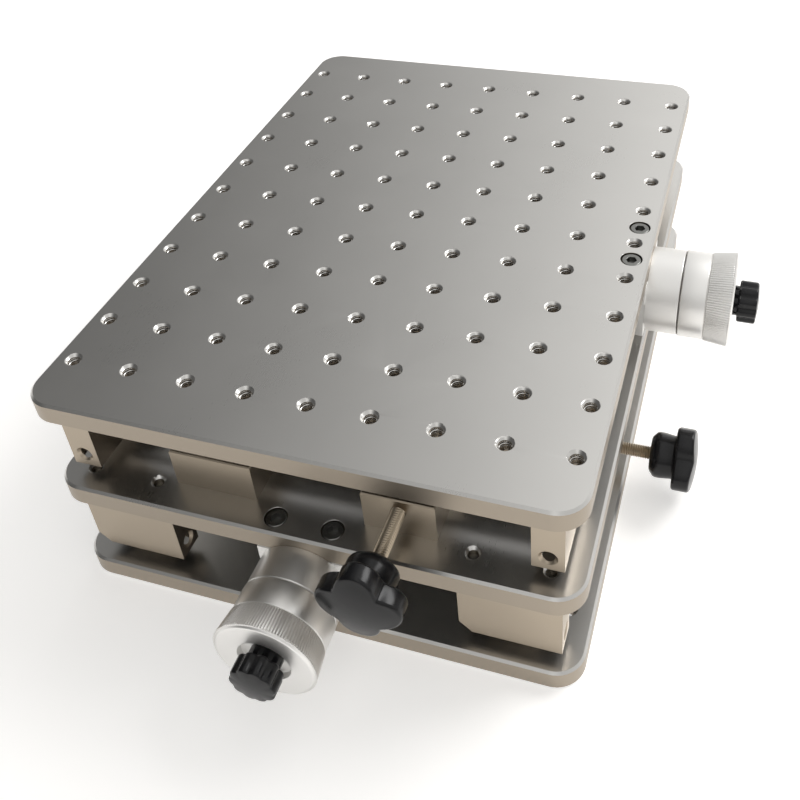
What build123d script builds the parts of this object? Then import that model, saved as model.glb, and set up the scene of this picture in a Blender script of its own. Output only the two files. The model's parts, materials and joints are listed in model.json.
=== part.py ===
from build123d import *
import os

os.makedirs("parts", exist_ok=True)

# All sizes are in millimetres. X runs along the table's short side, Y along its long side,
# and Z up from the underside of the base. The handwheels are at the right and at the front.

# Plates
plate_x = 216.0
plate_y = 300.0
plate_thickness = 10.0
plate_corner = 12.0
plate_edge = 1.0
stage_gap = 36.0

# Grid of tapped holes in the table
grid_pitch = 25.0
grid_margin_x = 8.0
grid_margin_y = 25.0
hole_entry = 1.1

# Holes that fasten the base, under the carriage, which uncovers them at the ends of its travel
base_hole_inset_x = 12.0
base_hole_inset_y = 30.0

# Travel of each stage to either side, and what is left between the blocks at its end
table_travel = 30.0
table_stop_gap = 0.5
carriage_travel = 60.0
carriage_stop_gap = 8.0

# Clearances: sliding and turning pairs, pressed or seated pairs, faces that pass each other,
# and screws in their holes
running_gap = 0.05
seat_gap = 0.02
wheel_gap = 0.3
screw_hole_gap = 0.25
head_side_gap = 0.4
head_top_gap = 0.3

# Guide rods and the blocks that hang from a moving plate and hold them
rod_r = 4.0
rod_drop = 24.5
rod_end_gap = 0.5
end_thickness = 12.0
end_width = 40.0
end_height = 30.5
end_web = 2.0
end_relief = 5.0
end_screw_inset = 5.5
end_screw_grip = 13.0
table_end_inset = 8.0
carriage_end_inset = 5.5
side_inset = 8.0
far_block_width = 44.0
far_screw_inset = 6.5
block_edge = 0.5

# Blocks that stand on the plate below and slide on the rods
block_length = 35.0
block_width = 30.0
block_height = 18.0
block_screw_inset = 4.5
block_screw_inset_v = 5.2
bush_wall = 1.0
bush_recess = 0.5
clamp_length = 29.0

# Lead screw, its nut and the block that holds the nut
screw_drop = 13.5
screw_r = 5.0
screw_bevel = 0.8
journal_r = 4.0
tip_r = 3.0
nut_r = 8.0
nut_flange_r = 11.5
nut_flange = 4.0
nut_block_length = 30.0
nut_block_width = 38.0
nut_block_height = 32.5
nut_screw_inset_u = 4.0
nut_screw_inset_v = 4.75

# Ball bearings on the lead screw's journals
bearing_r = 9.5
bearing_width = 6.0
bearing_recess = 1.0
outer_land_r = 8.0
inner_land_r = 5.6
ball_r = 1.5
ball_count = 7
shield_thickness = 0.3

# Handwheel bracket: a block under the plate with a round nose in front of the plate's edge
bracket_depth = 16.0
bracket_width = 36.0
bracket_height = 26.5
nose_r = 18.7
nose_length = 14.0
nose_edge = 0.4
bracket_bore_r = 7.5
bracket_screw_inset = 7.5
bracket_screw_inset_v = 6.25
bracket_tap_depth = 8.5

# Handwheel and the nut that holds it
sleeve_r = 19.0
sleeve_length = 10.7
rim_r = 20.6
rim_length = 11.0
rim_edge = 1.2
wheel_recess_r = 10.5
wheel_recess = 3.0
wheel_boss_r = 5.3
wheel_nut_neck_r = 6.5
wheel_nut_neck_out = 2.0
wheel_nut_r = 9.3
wheel_nut_length = 8.5
wheel_nut_dome = 1.2
flute_r = 1.5
flute_count = 10

# Lock: pad, threaded stud and moulded knob
stud_r = 3.0
pad_length = 4.0
pad_gap = 0.3
pad_play = 0.12
stud_free = 23.0
hub_end_r = 7.8
hub_r = 10.0
hub_neck_r = 9.3
hub_bevel = 2.6
hub_length = 10.4
head_reach = 16.0
head_length = 9.6
head_crown = 2.4
head_edge = 0.7
lobe_r = 7.0
lobe_count = 4
lobe_valley_r = 10.4
stud_in_knob = 12.0


class Thread:
    # A metric socket cap screw size: its tapped hole, its clearance hole and its head.
    def __init__(self, size, pitch, head, socket):
        self.size = size
        self.major_r = size / 2
        self.tap_r = (size - pitch) / 2
        self.core_r = self.tap_r - seat_gap
        self.clear_r = size / 2 + screw_hole_gap
        self.head_r = head / 2
        self.head_height = size
        self.sunk_r = head / 2 + head_side_gap
        self.sunk_depth = size + head_top_gap
        self.socket = socket


m4 = Thread(4.0, 0.7, 7.0, 3.0)
m5 = Thread(5.0, 0.8, 8.5, 4.0)
m6 = Thread(6.0, 1.0, 10.0, 5.0)

block_screw_reach = 6.2
end_screw_reach = 7.0
bracket_screw_reach = 7.2
grub_length = 6.0
blind_depth = 8.0

base_top = plate_thickness
carriage_bottom = base_top + stage_gap
carriage_top = carriage_bottom + plate_thickness
table_bottom = carriage_top + stage_gap
table_top = table_bottom + plate_thickness


class Stage:
    # One slide, in its own directions: u along the travel towards the handwheel, v across it,
    # w up from the underside of the moving plate. The plate below lies at w = -stage_gap.
    def __init__(self, name, to_wheel, underside, along, across, end_inset, reach, lock_side):
        self.name = name
        self.frame = Plane(origin=(0, 0, underside), x_dir=to_wheel, z_dir=(0, 0, 1))
        self.u_dir = self.frame.x_dir
        self.v_dir = self.frame.y_dir
        self.edge = along / 2
        self.end_outer = self.edge - end_inset
        self.end_inner = self.end_outer - end_thickness
        self.end_u = self.end_outer - end_thickness / 2
        self.rod_v = across / 2 - side_inset - end_width / 2
        self.block_outer = self.end_inner - reach
        self.block_u = self.block_outer - block_length / 2
        self.clamp_u = self.block_outer - block_length + clamp_length / 2
        self.lock_side = lock_side
        self.clamp_v = lock_side * self.rod_v

    def at(self, u, v, w):
        return self.frame.from_local_coords(Vector(u, v, w))

    # A plane parallel to the plates: its x is u, its y is v.
    def flat(self, u, v, w):
        return Plane(origin=self.at(u, v, w), x_dir=self.u_dir, z_dir=(0, 0, 1))

    # A plane square to the travel, facing the handwheel: its x is v, its y is w.
    def cross(self, u, v, w):
        return Plane(origin=self.at(u, v, w), x_dir=self.v_dir, z_dir=self.u_dir)

    # A plane that holds the travel and the vertical: its x is u, its y is w.
    def along(self, u, v, w):
        return Plane(origin=self.at(u, v, w), x_dir=self.u_dir, z_dir=self.v_dir * -1)

    # A plane that faces sideways, towards +v or -v: its x is u.
    def sideways(self, u, v, w, side):
        return Plane(origin=self.at(u, v, w), x_dir=self.u_dir, z_dir=self.v_dir * side)

    # A plane that holds the lock's axis and the vertical: its x points away from the rod.
    def lock_section(self):
        origin = self.at(self.clamp_u, self.clamp_v, -rod_drop)
        return Plane(origin=origin, x_dir=self.v_dir * self.lock_side, z_dir=self.u_dir * self.lock_side)

    def screw_axis(self):
        return Axis(self.at(0, 0, -screw_drop), self.u_dir)

    def lock_axis(self):
        return Axis(self.at(self.clamp_u, self.clamp_v, -rod_drop), self.v_dir)

    def head_up(self, spots, w):
        return [Location(self.at(u, v, w)) for u, v in spots]

    def head_down(self, spots, w):
        return [Location(self.at(u, v, w), (180, 0, 0)) for u, v in spots]

    def bearing_block_spots(self):
        corners = [(-1, -1), (-1, 1), (1, -1), (1, 1)]
        clamp = (1, self.lock_side)
        return [(a * self.block_u, b * self.rod_v) for a, b in corners if (a, b) != clamp]

    def standing_screw_spots(self):
        spots = []
        for u, v in self.bearing_block_spots():
            spots += screw_corners(u, v, block_length)
        spots += screw_corners(self.clamp_u, self.clamp_v, clamp_length)
        return spots

    def end_block_spots(self):
        return [(a * self.end_u, b * self.rod_v) for a in (-1, 1) for b in (-1, 1)]

    def end_screw_spots(self):
        spots = []
        for u, v in self.end_block_spots():
            spots += screw_pair(u, v, end_width / 2 - end_screw_inset)
        return spots + self.far_screw_spots()

    def far_screw_spots(self):
        return screw_pair(-self.end_u, 0, far_block_width / 2 - far_screw_inset)

    def bracket_screw_spots(self):
        return screw_pair(self.edge - bracket_screw_inset, 0, bracket_width / 2 - bracket_screw_inset_v)

    # Where each bearing's end nearer the handwheel lies: two in the bracket, one in the far block.
    def bearing_starts(self):
        inner = self.edge - bracket_depth + bearing_recess
        outer = self.edge + nose_length - bearing_recess - bearing_width
        far = -self.end_inner - bearing_recess - bearing_width
        return [inner, outer, far]


def screw_pair(u, v, dv):
    return [(u, v - dv), (u, v + dv)]


def screw_corners(u, v, length):
    du = length / 2 - block_screw_inset
    dv = block_width / 2 - block_screw_inset_v
    return [(u + a * du, v + b * dv) for a in (-1, 1) for b in (-1, 1)]


def nut_screw_spots():
    du = nut_block_length / 2 - nut_screw_inset_u
    dv = nut_block_width / 2 - nut_screw_inset_v
    return [(a * du, b * dv) for a in (-1, 1) for b in (-1, 1)]


table_reach = table_travel + table_stop_gap
carriage_reach = carriage_travel + carriage_stop_gap
x_stage = Stage("x", (1, 0, 0), table_bottom, plate_x, plate_y, table_end_inset, table_reach, -1)
y_stage = Stage("y", (0, -1, 0), carriage_bottom, plate_y, plate_x, carriage_end_inset, carriage_reach, 1)


def save(part, name):
    part.label = name
    export_step(part, f"parts/{name}.step")


def plate_blank(bottom):
    with BuildPart() as blank:
        with BuildSketch(Plane.XY.offset(bottom)):
            RectangleRounded(plate_x, plate_y, plate_corner)
        extrude(amount=plate_thickness)
        chamfer(blank.faces().filter_by(Axis.Z).edges(), plate_edge)
    return blank.part


# A socket cap screw: the seat of its head at z = 0, the head above it, the shank below it.
def cap_screw(thread, grip, reach):
    with BuildPart() as screw:
        with BuildSketch(Plane.XZ):
            with BuildLine():
                Polyline(
                    (0, thread.head_height),
                    (thread.head_r, thread.head_height),
                    (thread.head_r, 0),
                    (thread.major_r, 0),
                    (thread.major_r, -grip),
                    (thread.core_r, -grip),
                    (thread.core_r, -grip - reach),
                    (0, -grip - reach),
                    close=True,
                )
            make_face()
        revolve(axis=Axis.Z)
        chamfer(screw.edges().group_by(Axis.Z)[-1], thread.size * 0.08)
        with BuildSketch(Plane.XY.offset(thread.head_height)):
            RegularPolygon(thread.socket / 2, 6, major_radius=False)
        extrude(amount=-thread.head_height * 0.55, mode=Mode.SUBTRACT)
    return screw.part


def save_screws(screw, places, name):
    with BuildPart() as screws:
        with Locations(*places):
            add(screw)
    save(screws.part, name)


# Plates

table_holes_x = round((plate_x / 2 - grid_margin_x) / grid_pitch) * 2 + 1
table_holes_y = round((plate_y / 2 - grid_margin_y) / grid_pitch) * 2 + 1

with BuildPart() as table_plate:
    add(plate_blank(table_bottom))
    with Locations((0, 0, table_top)):
        with GridLocations(grid_pitch, grid_pitch, table_holes_x, table_holes_y):
            CounterSinkHole(m6.tap_r, m6.tap_r + hole_entry, counter_sink_angle=90)
    with Locations(*x_stage.head_up(x_stage.bracket_screw_spots(), plate_thickness)):
        CounterBoreHole(m5.clear_r, m5.sunk_r, m5.sunk_depth, depth=plate_thickness)
    with Locations(*x_stage.head_down(x_stage.end_screw_spots(), 0)):
        CounterSinkHole(m5.tap_r, m5.major_r, depth=blind_depth, counter_sink_angle=90)
save(table_plate.part, "table_plate")

with BuildPart() as carriage_plate:
    add(plate_blank(carriage_bottom))
    with Locations(*y_stage.head_up(y_stage.bracket_screw_spots(), plate_thickness)):
        CounterBoreHole(m5.clear_r, m5.sunk_r, m5.sunk_depth, depth=plate_thickness)
    with Locations(*y_stage.head_up(y_stage.end_screw_spots(), plate_thickness)):
        CounterSinkHole(m5.tap_r, m5.tap_r + hole_entry, depth=plate_thickness, counter_sink_angle=90)
    with Locations(*x_stage.head_up(x_stage.standing_screw_spots() + nut_screw_spots(), -stage_gap)):
        CounterSinkHole(m4.tap_r, m4.major_r, depth=blind_depth, counter_sink_angle=90)
save(carriage_plate.part, "carriage_plate")

with BuildPart() as base_plate:
    add(plate_blank(0))
    with Locations(*y_stage.head_up(y_stage.standing_screw_spots() + nut_screw_spots(), -stage_gap)):
        CounterSinkHole(m4.tap_r, m4.major_r, depth=blind_depth, counter_sink_angle=90)
    with Locations((0, 0, base_top)):
        with GridLocations(plate_x - 2 * base_hole_inset_x, plate_y - 2 * base_hole_inset_y, 2, 2):
            CounterBoreHole(m6.clear_r, m6.sunk_r, m6.sunk_depth, depth=plate_thickness)
save(base_plate.part, "base_plate")


# Pieces that stand on the plate below

bush_r = rod_r + bush_wall
block_grip = block_height - m4.sunk_depth


def standing_blank(stage, u, v, length):
    with BuildPart() as blank:
        with BuildSketch(stage.flat(u, v, -stage_gap)):
            Rectangle(length, block_width)
        extrude(amount=block_height)
        chamfer(blank.faces().sort_by(Axis.Z)[-1].edges(), block_edge)
        with Locations(*stage.head_up(screw_corners(u, v, length), block_height - stage_gap)):
            CounterBoreHole(m4.clear_r, m4.sunk_r, m4.sunk_depth, depth=block_height)
    return blank.part


def bearing_block(stage, u, v, name):
    with BuildPart() as block:
        add(standing_blank(stage, u, v, block_length))
        with BuildSketch(stage.cross(u - block_length / 2, v, -rod_drop)):
            Circle(bush_r + seat_gap)
        extrude(amount=block_length, mode=Mode.SUBTRACT)
    save(block.part, name)


def clamp_block(stage, name):
    with BuildPart() as block:
        add(standing_blank(stage, stage.clamp_u, stage.clamp_v, clamp_length))
        with BuildSketch(stage.cross(stage.clamp_u - clamp_length / 2, stage.clamp_v, -rod_drop)):
            Circle(rod_r + running_gap)
        extrude(amount=clamp_length, mode=Mode.SUBTRACT)
        with BuildSketch(stage.sideways(stage.clamp_u, stage.clamp_v, -rod_drop, stage.lock_side)):
            Circle(stud_r + running_gap)
        extrude(amount=block_width / 2, mode=Mode.SUBTRACT)
    save(block.part, name)


def rod_bushes(stage, name):
    length = block_length - 2 * bush_recess
    with BuildPart() as bushes:
        for u, v in stage.bearing_block_spots():
            with BuildSketch(stage.cross(u - length / 2, v, -rod_drop)):
                Circle(bush_r)
                Circle(rod_r + running_gap, mode=Mode.SUBTRACT)
            extrude(amount=length)
    save(bushes.part, name)


def nut_block(stage, name):
    top = nut_block_height - stage_gap
    with BuildPart() as block:
        with BuildSketch(stage.flat(0, 0, -stage_gap)):
            Rectangle(nut_block_length, nut_block_width)
        extrude(amount=nut_block_height)
        chamfer(block.faces().sort_by(Axis.Z)[-1].edges(), block_edge)
        with BuildSketch(stage.cross(-nut_block_length / 2, 0, -screw_drop)):
            Circle(nut_r + seat_gap)
        extrude(amount=nut_block_length, mode=Mode.SUBTRACT)
        with Locations(*stage.head_up(nut_screw_spots(), top)):
            CounterBoreHole(m4.clear_r, m4.sunk_r, nut_block_height - block_grip, depth=nut_block_height)
    save(block.part, name)


def lead_nut(stage, name):
    face = nut_block_length / 2
    with BuildPart() as nut:
        with BuildSketch(stage.cross(-face, 0, -screw_drop)):
            Circle(nut_r)
        extrude(amount=nut_block_length)
        with BuildSketch(stage.cross(face, 0, -screw_drop)):
            Circle(nut_flange_r)
        extrude(amount=nut_flange)
        with BuildSketch(stage.cross(-face, 0, -screw_drop)):
            Circle(screw_r + running_gap)
        extrude(amount=nut_block_length + nut_flange, mode=Mode.SUBTRACT)
    save(nut.part, name)


def standing_screws(stage, name):
    screw = cap_screw(m4, block_grip, block_screw_reach)
    spots = stage.standing_screw_spots() + nut_screw_spots()
    save_screws(screw, stage.head_up(spots, block_grip - stage_gap), name)


# Lock. Its sizes along the axis are counted from the centre of the guide rod.

pad_start = rod_r + pad_gap
stud_start = pad_start + pad_length
hub_start = block_width / 2 + stud_free
head_start = hub_start + hub_length
head_end = head_start + head_length


def lock_pad(stage, name):
    with BuildPart() as pad:
        with BuildSketch(stage.lock_section()):
            with Locations((pad_start + pad_length / 2, (stud_r - pad_play) / 2)):
                Rectangle(pad_length, stud_r - pad_play)
        revolve(axis=stage.lock_axis())
    save(pad.part, name)


def lock_stud(stage, name):
    length = hub_start + stud_in_knob - stud_start
    with BuildPart() as stud:
        with BuildSketch(stage.lock_section()):
            with Locations((stud_start + length / 2, stud_r / 2)):
                Rectangle(length, stud_r)
        revolve(axis=stage.lock_axis())
    save(stud.part, name)


def lock_knob(stage, name):
    side = stage.lock_side
    with BuildPart() as knob:
        with BuildSketch(stage.sideways(stage.clamp_u, stage.clamp_v + side * head_start, -rod_drop, side)):
            Circle(lobe_valley_r)
            with PolarLocations(head_reach - lobe_r, lobe_count):
                Circle(lobe_r)
        extrude(amount=head_length)
        with BuildSketch(stage.lock_section()):
            with BuildLine():
                Polyline((head_end, 0), (0, 0), (0, head_reach), (head_end - head_crown, head_reach))
                TangentArc((head_end, 0), (head_end - head_crown, head_reach), tangent=(0, 1))
            make_face()
        revolve(axis=stage.lock_axis(), mode=Mode.INTERSECT)
        crown = stage.at(stage.clamp_u, stage.clamp_v + side * head_end, -rod_drop)
        chamfer(knob.faces().sort_by_distance(crown)[0].edges(), head_edge)
        with BuildSketch(stage.lock_section()):
            with BuildLine():
                Polyline(
                    (hub_start, 0),
                    (hub_start, hub_end_r),
                    (hub_start + hub_bevel, hub_r),
                    (hub_start + 2 * hub_bevel, hub_r),
                    (head_start, hub_neck_r),
                    (head_start, 0),
                    close=True,
                )
            make_face()
        revolve(axis=stage.lock_axis())
        with BuildSketch(stage.sideways(stage.clamp_u, stage.clamp_v + side * hub_start, -rod_drop, side)):
            Circle(stud_r + seat_gap)
        extrude(amount=stud_in_knob, mode=Mode.SUBTRACT)
    save(knob.part, name)


# Pieces that hang from the moving plate. The heads of their screws lie above the set screws' holes,
# which are all on the side where the stage's lock is.

end_screw_sunk = end_height - end_screw_grip


def end_block(stage, u, v, name):
    side = stage.lock_side
    inward_u = -1 if u > 0 else 1
    with BuildPart() as block:
        with BuildSketch(stage.flat(u, v, -end_height)):
            Rectangle(end_thickness, end_width)
        extrude(amount=end_height)
        relieved_edge = stage.at(u, v - side * end_width / 2, -end_height)
        chamfer(block.edges().sort_by_distance(relieved_edge)[0], end_relief)
        inner_face = stage.cross(u + inward_u * end_thickness / 2, v, -rod_drop)
        with BuildSketch(inner_face):
            Circle(rod_r + seat_gap)
        extrude(amount=-inward_u * (end_thickness - end_web), mode=Mode.SUBTRACT)
        with Locations(stage.sideways(u, v + side * end_width / 2, -rod_drop, side)):
            CounterSinkHole(m6.tap_r, m6.tap_r + hole_entry, depth=end_width / 2, counter_sink_angle=90)
        screws = screw_pair(u, v, end_width / 2 - end_screw_inset)
        with Locations(*stage.head_down(screws, -end_height)):
            CounterBoreHole(m5.clear_r, m5.sunk_r, end_screw_sunk, depth=end_height)
    save(block.part, name)


def far_block(stage, name):
    u = -stage.end_u
    with BuildPart() as block:
        with BuildSketch(stage.flat(u, 0, -end_height)):
            Rectangle(end_thickness, far_block_width)
        extrude(amount=end_height)
        with BuildSketch(stage.cross(-stage.end_inner, 0, -screw_drop)):
            Circle(bearing_r + seat_gap)
        extrude(amount=-bearing_width - bearing_recess, mode=Mode.SUBTRACT)
        with Locations(*stage.head_down(stage.far_screw_spots(), -end_height)):
            CounterBoreHole(m5.clear_r, m5.sunk_r, end_screw_sunk, depth=end_height)
    save(block.part, name)


def guide_rod(stage, v, name):
    half = stage.end_inner + end_thickness - end_web - rod_end_gap
    with BuildPart() as rod:
        with BuildSketch(stage.cross(-half, v, -rod_drop)):
            Circle(rod_r)
        extrude(amount=2 * half)
        chamfer(rod.edges(), block_edge)
    save(rod.part, name)


def end_screws(stage, name):
    screw = cap_screw(m5, end_screw_grip, end_screw_reach)
    save_screws(screw, stage.head_down(stage.end_screw_spots(), -end_screw_grip), name)


# Set screws bear on the rods and lie deep in their holes.
def set_screws(stage, name):
    with BuildPart() as screws:
        for u, v in stage.end_block_spots():
            side = stage.lock_side
            start = stage.sideways(u, v + side * (rod_r + seat_gap), -rod_drop, side)
            with BuildSketch(start):
                Circle(m6.core_r)
            extrude(amount=grub_length)
            with BuildSketch(start.offset(grub_length)):
                RegularPolygon(m6.socket * 0.3, 6, major_radius=False)
            extrude(amount=-grub_length * 0.4, mode=Mode.SUBTRACT)
    save(screws.part, name)


def bracket(stage, name):
    with BuildPart() as housing:
        with BuildSketch(stage.flat(stage.edge - bracket_depth / 2, 0, -bracket_height)):
            Rectangle(bracket_depth, bracket_width)
        extrude(amount=bracket_height)
        with BuildSketch(stage.cross(stage.edge, 0, -screw_drop)):
            Circle(nose_r)
        extrude(amount=nose_length)
        nose_end = stage.at(stage.edge + nose_length, 0, -screw_drop + nose_r)
        chamfer(housing.edges().filter_by(GeomType.CIRCLE).sort_by_distance(nose_end)[0], nose_edge)
        with BuildSketch(stage.cross(stage.edge - bracket_depth, 0, -screw_drop)):
            Circle(bracket_bore_r)
        extrude(amount=bracket_depth + nose_length, mode=Mode.SUBTRACT)
        with BuildSketch(stage.cross(stage.edge - bracket_depth, 0, -screw_drop)):
            Circle(bearing_r + seat_gap)
        extrude(amount=bearing_recess + bearing_width, mode=Mode.SUBTRACT)
        with BuildSketch(stage.cross(stage.edge + nose_length, 0, -screw_drop)):
            Circle(bearing_r + seat_gap)
        extrude(amount=-bearing_recess - bearing_width, mode=Mode.SUBTRACT)
        with Locations(*stage.head_up(stage.bracket_screw_spots(), 0)):
            Hole(m5.tap_r, depth=bracket_tap_depth)
    save(housing.part, name)


def bracket_screws(stage, name):
    grip = plate_thickness - m5.sunk_depth
    screw = cap_screw(m5, grip, bracket_screw_reach)
    save_screws(screw, stage.head_up(stage.bracket_screw_spots(), grip), name)


# Ball bearings: a shielded outer ring and its balls, and the inner ring on the journal.

ball_pitch_r = (outer_land_r + inner_land_r) / 2
race_r = ball_r + running_gap


def bearing_outer_rings(stage, name):
    shield_r = inner_land_r + 3 * running_gap
    shield_middle_r = (bearing_r + shield_r) / 2
    shield_at = (bearing_width - shield_thickness) / 2
    with BuildPart() as rings:
        for start in stage.bearing_starts():
            middle = start + bearing_width / 2
            with BuildSketch(stage.along(middle, 0, -screw_drop)):
                with Locations((0, (bearing_r + outer_land_r) / 2)):
                    Rectangle(bearing_width, bearing_r - outer_land_r)
                with Locations((-shield_at, shield_middle_r), (shield_at, shield_middle_r)):
                    Rectangle(shield_thickness, bearing_r - shield_r)
                with Locations((0, ball_pitch_r)):
                    Circle(race_r, mode=Mode.SUBTRACT)
            revolve(axis=stage.screw_axis())
            with Locations(stage.cross(middle, 0, -screw_drop)):
                with PolarLocations(ball_pitch_r, ball_count):
                    Sphere(ball_r)
    save(rings.part, name)


def bearing_inner_rings(stage, name):
    bore_r = journal_r + seat_gap
    with BuildPart() as rings:
        for start in stage.bearing_starts():
            with BuildSketch(stage.along(start + bearing_width / 2, 0, -screw_drop)):
                with Locations((0, (bore_r + inner_land_r) / 2)):
                    Rectangle(bearing_width, inner_land_r - bore_r)
                with Locations((0, ball_pitch_r)):
                    Circle(race_r, mode=Mode.SUBTRACT)
            revolve(axis=stage.screw_axis())
    save(rings.part, name)


# The sleeve that keeps the bracket's two inner rings apart.
def spindle_sleeve(stage, name):
    inner, outer, far = stage.bearing_starts()
    start = inner + bearing_width
    with BuildPart() as sleeve:
        with BuildSketch(stage.cross(start, 0, -screw_drop)):
            Circle(inner_land_r)
            Circle(journal_r + seat_gap, mode=Mode.SUBTRACT)
        extrude(amount=outer - start)
    save(sleeve.part, name)


# Pieces that turn with the lead screw. The wheel's places are counted from the plate's edge.

wheel_start = nose_length + wheel_gap
rim_start = wheel_start + sleeve_length
rim_end = rim_start + rim_length
recess_floor = rim_end - wheel_recess
wheel_nut_head = rim_end + wheel_nut_neck_out
wheel_nut_end = wheel_nut_head + wheel_nut_length


def lead_screw(stage, name):
    inner, outer, far = stage.bearing_starts()
    seat = stage.edge + recess_floor - wheel_gap
    tip = stage.edge + wheel_nut_end - 2 * wheel_nut_dome
    with BuildPart() as screw:
        with BuildSketch(stage.along(0, 0, -screw_drop)):
            with BuildLine():
                Polyline(
                    (far, 0),
                    (far, journal_r),
                    (far + bearing_width, journal_r),
                    (far + bearing_width, screw_r - screw_bevel),
                    (far + bearing_width + screw_bevel, screw_r),
                    (inner - screw_bevel, screw_r),
                    (inner, screw_r - screw_bevel),
                    (inner, journal_r),
                    (seat, journal_r),
                    (seat, tip_r),
                    (tip, tip_r),
                    (tip, 0),
                    close=True,
                )
            make_face()
        revolve(axis=stage.screw_axis())
    save(screw.part, name)


def handwheel(stage, name):
    bore_r = journal_r + seat_gap
    boss_start = nose_length - bearing_recess
    with BuildPart() as wheel:
        with BuildSketch(stage.along(stage.edge, 0, -screw_drop)):
            with BuildLine():
                Polyline(
                    (boss_start, bore_r),
                    (boss_start, wheel_boss_r),
                    (wheel_start, wheel_boss_r),
                    (wheel_start, sleeve_r - nose_edge),
                    (wheel_start + nose_edge, sleeve_r),
                    (rim_start, sleeve_r),
                    (rim_end - rim_edge, rim_r),
                    (rim_end, rim_r - rim_edge),
                    (rim_end, wheel_recess_r),
                    (recess_floor, wheel_recess_r),
                    (recess_floor, bore_r),
                    close=True,
                )
            make_face()
        revolve(axis=stage.screw_axis())
    save(wheel.part, name)


def wheel_nut(stage, name):
    with BuildPart() as nut:
        with BuildSketch(stage.along(stage.edge, 0, -screw_drop)):
            with BuildLine():
                Polyline(
                    (wheel_nut_end, 0),
                    (recess_floor, 0),
                    (recess_floor, wheel_nut_neck_r),
                    (wheel_nut_head, wheel_nut_neck_r),
                    (wheel_nut_head, wheel_nut_r),
                    (wheel_nut_end - wheel_nut_dome, wheel_nut_r),
                )
                TangentArc((wheel_nut_end, 0), (wheel_nut_end - wheel_nut_dome, wheel_nut_r), tangent=(0, 1))
            make_face()
        revolve(axis=stage.screw_axis())
        with BuildSketch(stage.cross(stage.edge + wheel_nut_head, 0, -screw_drop)):
            with PolarLocations(wheel_nut_r + flute_r / 3, flute_count):
                Circle(flute_r)
        extrude(amount=wheel_nut_length, mode=Mode.SUBTRACT)
        with BuildSketch(stage.cross(stage.edge + recess_floor, 0, -screw_drop)):
            Circle(tip_r + seat_gap)
        extrude(amount=wheel_nut_end - 1.5 * wheel_nut_dome - recess_floor, mode=Mode.SUBTRACT)
    save(nut.part, name)


# Sides of each stage in plain words: v < 0, v > 0, then u < 0, u > 0.
side_words = {"x": ("front", "rear"), "y": ("left", "right")}
end_words = {"x": ("left", "right"), "y": ("rear", "front")}


def spot_words(stage, u, v):
    along = end_words[stage.name][1 if u > 0 else 0]
    across = side_words[stage.name][1 if v > 0 else 0]
    return f"{along}_{across}"


for stage in (x_stage, y_stage):
    for u, v in stage.bearing_block_spots():
        bearing_block(stage, u, v, f"{stage.name}_bearing_block_{spot_words(stage, u, v)}")
    clamp_block(stage, f"{stage.name}_clamp_block")
    rod_bushes(stage, f"{stage.name}_rod_bushes")
    nut_block(stage, f"{stage.name}_nut_block")
    lead_nut(stage, f"{stage.name}_lead_nut")
    standing_screws(stage, f"{stage.name}_block_screws")
    lock_pad(stage, f"{stage.name}_lock_pad")
    lock_stud(stage, f"{stage.name}_lock_stud")
    lock_knob(stage, f"{stage.name}_lock_knob")
    for u, v in stage.end_block_spots():
        end_block(stage, u, v, f"{stage.name}_end_block_{spot_words(stage, u, v)}")
    far_block(stage, f"{stage.name}_far_bearing_block")
    for side, word in zip((-1, 1), side_words[stage.name]):
        guide_rod(stage, side * stage.rod_v, f"{stage.name}_guide_rod_{word}")
    end_screws(stage, f"{stage.name}_end_block_screws")
    set_screws(stage, f"{stage.name}_set_screws")
    bracket(stage, f"{stage.name}_handwheel_bracket")
    bracket_screws(stage, f"{stage.name}_bracket_screws")
    bearing_outer_rings(stage, f"{stage.name}_bearing_outer_rings")
    bearing_inner_rings(stage, f"{stage.name}_bearing_inner_rings")
    spindle_sleeve(stage, f"{stage.name}_spindle_sleeve")
    lead_screw(stage, f"{stage.name}_lead_screw")
    handwheel(stage, f"{stage.name}_handwheel")
    wheel_nut(stage, f"{stage.name}_wheel_nut")
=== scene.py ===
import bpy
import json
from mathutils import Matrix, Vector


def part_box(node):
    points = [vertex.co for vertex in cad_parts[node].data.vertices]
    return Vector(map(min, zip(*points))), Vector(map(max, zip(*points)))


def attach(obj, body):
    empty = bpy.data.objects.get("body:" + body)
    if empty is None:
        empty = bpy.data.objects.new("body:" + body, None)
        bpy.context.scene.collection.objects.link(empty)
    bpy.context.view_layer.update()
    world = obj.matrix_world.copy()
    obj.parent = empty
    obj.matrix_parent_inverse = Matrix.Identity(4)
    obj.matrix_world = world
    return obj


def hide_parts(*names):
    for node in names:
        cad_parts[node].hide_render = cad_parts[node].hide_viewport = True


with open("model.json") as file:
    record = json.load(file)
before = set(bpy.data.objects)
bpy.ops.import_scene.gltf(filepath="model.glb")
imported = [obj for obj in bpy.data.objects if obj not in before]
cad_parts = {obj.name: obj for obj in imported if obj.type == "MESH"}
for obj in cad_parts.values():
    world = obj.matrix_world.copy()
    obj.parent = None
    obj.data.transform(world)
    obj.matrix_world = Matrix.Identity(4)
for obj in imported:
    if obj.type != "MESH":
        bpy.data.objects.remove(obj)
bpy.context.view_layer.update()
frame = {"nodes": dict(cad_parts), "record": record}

import json
import math
import bmesh
import bpy
from mathutils import Matrix, Vector

mm = 0.001
record = frame["record"]
bodyOf = {node: body for body, nodes in record["behaviour"]["bodies"].items() for node in nodes}
slotOf = {part["node"]: part["material_slot"] for part in record["subparts"]}
jointOf = {joint["name"]: joint for joint in record["behaviour"]["joints"]}
scene = bpy.context.scene


# Camera, at the photograph's angle
cameraSetup = {
    "place": (141.7, -353.3, 362.7),  # mm
    "turn": (54.512, 3.347, 17.512),  # degrees
    "lens": 45.05,
    "sensor": 36.0,
    "shift": (-0.0575, -0.2133),
}


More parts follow.
